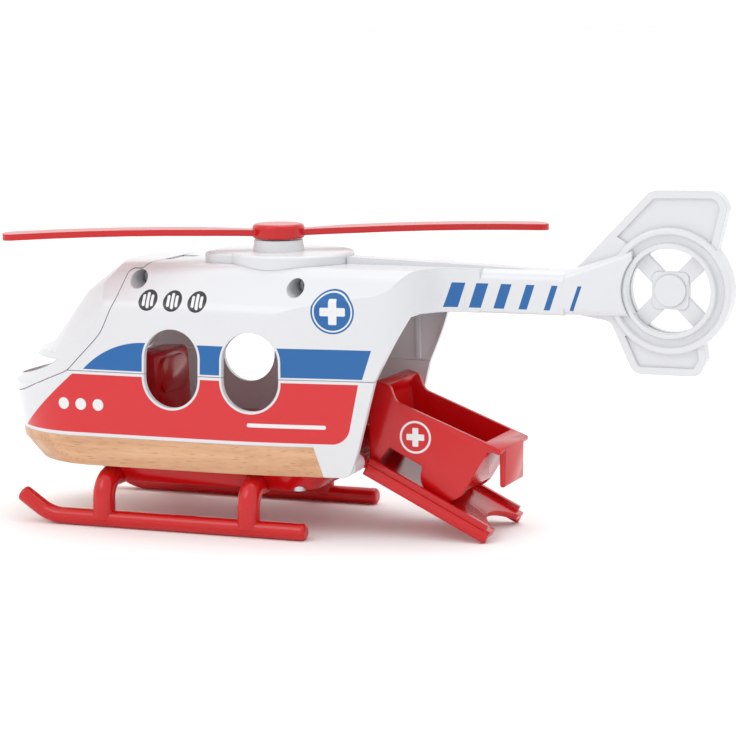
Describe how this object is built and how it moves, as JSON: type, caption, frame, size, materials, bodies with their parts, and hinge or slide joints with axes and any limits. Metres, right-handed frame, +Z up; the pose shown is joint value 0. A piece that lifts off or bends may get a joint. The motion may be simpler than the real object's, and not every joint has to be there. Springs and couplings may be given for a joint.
{
  "type": "toy helicopter",
  "caption": "Toy rescue helicopter on skids: beech base, hinged canopy, folding rear ramp, sliding stretcher and two turning rotors.",
  "frame": {"origin": "centre of the overall box, on the ground under the skids", "axes": "+Z up, nose towards -X, tail towards +X"},
  "size_m": [0.2936, 0.1088, 0.1333],
  "materials": {
    "white_plastic": "moulded, semi-gloss white",
    "red_plastic": "moulded, glossy red",
    "beech": "beech, clear lacquer",
    "steel": "drawn wire",
    "zinc_screws": "zinc plated",
    "brass": "turned"
  },
  "bodies": {
    "hull": {"lower_shell": "white_plastic", "upper_shell_left": "white_plastic", "upper_shell_right": "white_plastic", "engine_cowl": "white_plastic", "hull_base": "beech", "cabin_floor": "red_plastic", "pilot_seat": "red_plastic", "belly_plate": "red_plastic", "skid_left": "red_plastic", "skid_right": "red_plastic", "rotor_bush": "brass", "shell_screws": "zinc_screws", "base_screws": "zinc_screws", "canopy_hinge_pin": "steel", "ramp_hinge_pin": "steel"},
    "canopy": {"canopy": "white_plastic"},
    "main_rotor": {"main_rotor": "red_plastic", "rotor_shaft": "steel", "shaft_retainer": "steel"},
    "tail_rotor": {"tail_rotor": "white_plastic"},
    "ramp": {"ramp": "red_plastic"},
    "stretcher": {"stretcher": "red_plastic"}
  },
  "joints": [
    {"name": "main_rotor_spin", "type": "hinge", "parent": "hull", "child": "main_rotor", "pos_m": [-0.0351, 0, 0.1105], "axis": [0, 0, 1], "continuous": true},
    {"name": "tail_rotor_spin", "type": "hinge", "parent": "hull", "child": "tail_rotor", "pos_m": [0.123, 0, 0.0961], "axis": [0, 1, 0], "continuous": true},
    {"name": "canopy_hinge", "type": "hinge", "parent": "hull", "child": "canopy", "pos_m": [-0.0761, 0, 0.0997], "axis": [0, 1, 0], "range_deg": [0, 30]},
    {"name": "ramp_hinge", "type": "hinge", "parent": "hull", "child": "ramp", "pos_m": [0.0054, 0, 0.0285], "axis": [0, -1, 0], "range_deg": [0, 92]},
    {"name": "stretcher_slide", "type": "slide", "parent": "ramp", "child": "stretcher", "axis": [0.8978, 0, -0.4404], "range_m": [-0.022, 0.005]}
  ]
}
